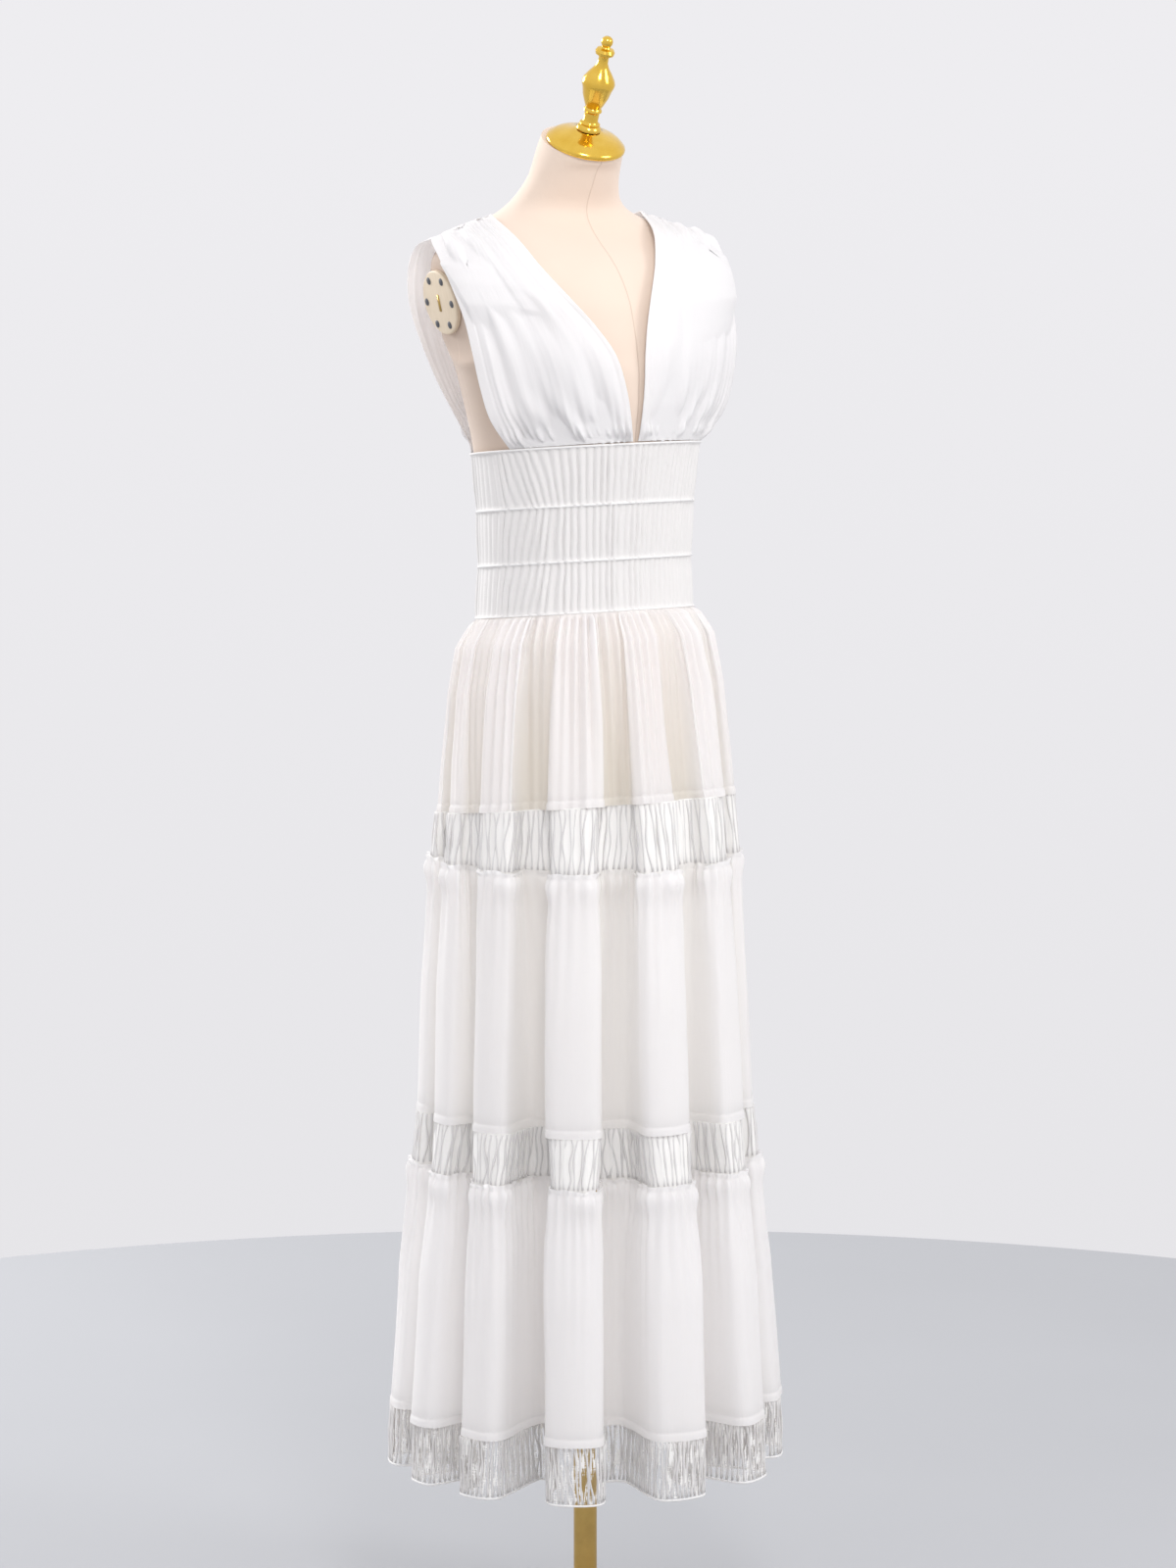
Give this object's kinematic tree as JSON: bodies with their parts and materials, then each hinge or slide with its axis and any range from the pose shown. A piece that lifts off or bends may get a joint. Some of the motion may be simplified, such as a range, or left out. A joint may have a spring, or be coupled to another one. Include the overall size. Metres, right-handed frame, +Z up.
{
  "type": "maxi dress on a dress form stand",
  "caption": "White sleeveless V-neck maxi dress with a shirred waist, gathered tiers and ladder-lace bands, on a limbless dress form with a pole stand.",
  "frame": {"origin": "middle of the base's underside, under the pole", "axes": "+Z up along the pole, -Y towards the front of the dress, +X towards the wearer's left"},
  "size_m": [0.4204, 0.4183, 1.7131],
  "materials": {
    "voile": "matt woven voile, lightly crinkled",
    "lace_thread": "matt cotton thread",
    "form_cover": "close knitted cover",
    "gold": "polished gold plating",
    "aged_brass": "satin brass",
    "arm_plate": "matt varnish"
  },
  "bodies": {
    "root": {"bodice_front_right": "voile", "bodice_front_left": "voile", "bodice_back_right": "voile", "bodice_back_left": "voile", "waist_band_top": "voile", "waist_band_middle": "voile", "waist_band_bottom": "voile", "skirt_tier_top_front": "voile", "skirt_tier_top_back": "voile", "skirt_tier_middle_front_right": "voile", "skirt_tier_middle_front_left": "voile", "skirt_tier_middle_back_left": "voile", "skirt_tier_middle_back_right": "voile", "skirt_tier_lower_front_right": "voile", "skirt_tier_lower_front_left": "voile", "skirt_tier_lower_back_left": "voile", "skirt_tier_lower_back_right": "voile", "lace_upper_front": "lace_thread", "lace_upper_back": "lace_thread", "lace_middle_front": "lace_thread", "lace_middle_back": "lace_thread", "lace_hem_front": "lace_thread", "lace_hem_back": "lace_thread", "waist_cord_1": "lace_thread", "waist_cord_2": "lace_thread", "waist_cord_3": "lace_thread", "waist_cord_4": "lace_thread", "hem_cord": "lace_thread", "form_torso": "form_cover", "neck_cap": "gold", "finial": "gold", "arm_plate_right": "arm_plate", "arm_plate_left": "arm_plate", "form_collar": "aged_brass", "pole": "aged_brass", "base_hub": "aged_brass", "base_plate": "aged_brass"}
  },
  "joints": []
}
